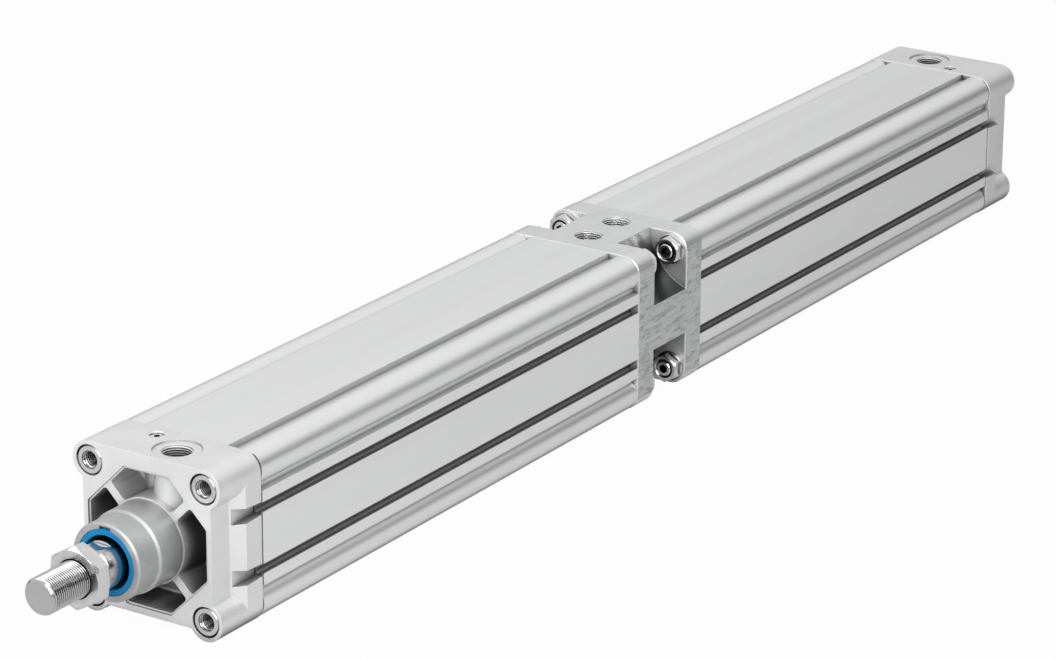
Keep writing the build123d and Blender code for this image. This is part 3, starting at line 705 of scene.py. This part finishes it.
def add_wiper():
    """Blue wiper with its lip set back from the face, in place of the plain one; the lip is black as
    painted shade in the recess round the rod.
    """
    low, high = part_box("wiper_seal")
    back = low[0]
    front = high[0]
    outer = high[2]
    lip = front - wiper_lip_setback
    inner = wiper_face_radius
    face = [(back, outer), (front - wiper_face_edge, outer), (front, outer - wiper_face_edge)]
    face += [(front, inner + wiper_face_edge), (front - wiper_face_edge, inner), (back, inner)]
    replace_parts(turned_ring("wiper_face", face, "housing", "blue_seal"), "wiper_seal")
    # Painted shade: the lip is made in the black seal colour, for the shadow in the recess round the rod.
    funnel = [(back, inner), (lip, inner)]
    funnel += [(lip - wiper_lip_slope, wiper_lip_radius), (back, wiper_lip_radius)]
    turned_ring("wiper_lip", funnel, "housing", "black_seal")


# Stage


def white_surface(name):
    """White floor: the camera sees it as plain white with a soft shadow, metal sees it a little greyer."""
    material = bpy.data.materials.new(name)
    material.use_nodes = True
    tree = material.node_tree
    tree.nodes.clear()
    out = node(tree, "ShaderNodeOutputMaterial")
    lit = node(tree, "ShaderNodeBsdfDiffuse")
    lit.inputs["Color"].default_value = (floor_white, floor_white, floor_white, 1.0)
    plain = node(tree, "ShaderNodeEmission", Strength=1.0)
    path = node(tree, "ShaderNodeLightPath")
    to_camera = node(tree, "ShaderNodeMath", operation="MULTIPLY")
    to_camera.inputs[1].default_value = seen_white
    tree.links.new(path.outputs["Is Camera Ray"], to_camera.inputs[0])
    to_metal = node(tree, "ShaderNodeMath", operation="MULTIPLY_ADD")
    to_metal.inputs[1].default_value = mirrored_white
    tree.links.new(path.outputs["Is Glossy Ray"], to_metal.inputs[0])
    tree.links.new(to_camera.outputs[0], to_metal.inputs[2])
    mix = node(tree, "ShaderNodeMixShader")
    tree.links.new(to_metal.outputs[0], mix.inputs[0])
    tree.links.new(lit.outputs[0], mix.inputs[1])
    tree.links.new(plain.outputs[0], mix.inputs[2])
    tree.links.new(mix.outputs[0], out.inputs["Surface"])
    return material


def add_floor():
    """Plain white floor under the part."""
    half = floor_half
    data = bpy.data.meshes.new("floor")
    corners = [(-half, -half, 0), (half, -half, 0), (half, half, 0), (-half, half, 0)]
    data.from_pydata(corners, [], [(0, 1, 2, 3)])
    floor = bpy.data.objects.new("floor", data)
    floor.location = (0.0, 0.0, floor_height - floor_gap)
    data.materials.append(white_surface("white_floor"))
    bpy.context.scene.collection.objects.link(floor)


def sky(tree):
    """Grey that rises from dim at the horizon to white overhead, a little sooner on the -Y side."""
    around = node(tree, "ShaderNodeTexCoord")
    rise = node(tree, "ShaderNodeVectorMath", operation="DOT_PRODUCT")
    rise.inputs[1].default_value = bright_side
    tree.links.new(around.outputs["Generated"], rise.inputs[0])
    dim = (horizon_grey,) * 3
    return ramp(tree, rise.outputs["Value"], dim, (1.0,) * 3, sky_dim_to, sky_white_from)


def add_world():
    """Soft light from above, plain white where the camera sees it."""
    world = bpy.data.worlds.new("studio")
    bpy.context.scene.world = world
    world.use_nodes = True
    tree = world.node_tree
    tree.nodes.clear()
    out = node(tree, "ShaderNodeOutputWorld")
    fill = node(tree, "ShaderNodeBackground", Strength=world_fill)
    mirrored = node(tree, "ShaderNodeBackground", Strength=world_mirrored)
    plain = node(tree, "ShaderNodeBackground", Strength=1.0)
    plain.inputs["Color"].default_value = (1.0, 1.0, 1.0, 1.0)
    gradient = sky(tree)
    for background in (fill, mirrored):
        tree.links.new(gradient, background.inputs["Color"])
    path = node(tree, "ShaderNodeLightPath")
    in_metal = node(tree, "ShaderNodeMixShader")
    tree.links.new(path.outputs["Is Glossy Ray"], in_metal.inputs[0])
    tree.links.new(fill.outputs[0], in_metal.inputs[1])
    tree.links.new(mirrored.outputs[0], in_metal.inputs[2])
    mix = node(tree, "ShaderNodeMixShader")
    tree.links.new(path.outputs["Is Camera Ray"], mix.inputs[0])
    tree.links.new(in_metal.outputs[0], mix.inputs[1])
    tree.links.new(plain.outputs[0], mix.inputs[2])
    tree.links.new(mix.outputs[0], out.inputs["Surface"])


def add_softbox(name, place_at, aim, width, height, power, mirrored):
    """Rectangular lamp that looks at a point."""
    lamp = bpy.data.lights.new(name, "AREA")
    lamp.shape = "RECTANGLE"
    lamp.size = width
    lamp.size_y = height
    lamp.energy = power
    holder = bpy.data.objects.new(name, lamp)
    holder.location = place_at
    direction = Vector(aim) - Vector(place_at)
    holder.rotation_euler = direction.to_track_quat("-Z", "Y").to_euler()
    holder.visible_glossy = mirrored
    bpy.context.scene.collection.objects.link(holder)


def add_camera():
    """Camera at the photographed view."""
    data = bpy.data.cameras.new("camera")
    data.lens = camera_lens
    data.sensor_width = camera_sensor
    data.sensor_fit = "HORIZONTAL"
    data.clip_start = camera_nearest
    data.clip_end = camera_farthest
    camera = bpy.data.objects.new("camera", data)
    camera.location = camera_place
    tilt = math.radians(90 - camera_elevation)
    look = Euler((tilt, 0.0, math.radians(camera_azimuth)), "XYZ").to_matrix()
    roll = Matrix.Rotation(math.radians(camera_roll), 3, "Z")
    camera.rotation_euler = (look @ roll).to_euler()
    bpy.context.scene.collection.objects.link(camera)
    bpy.context.scene.camera = camera


add_camera()
dress_cad_nodes()
add_rod()
add_mounting_threads()
add_port_threads()
add_wiper()
add_floor()
add_world()
for name, settings in softboxes.items():
    add_softbox(name, *settings)

bpy.context.scene.view_settings.view_transform = "Standard"
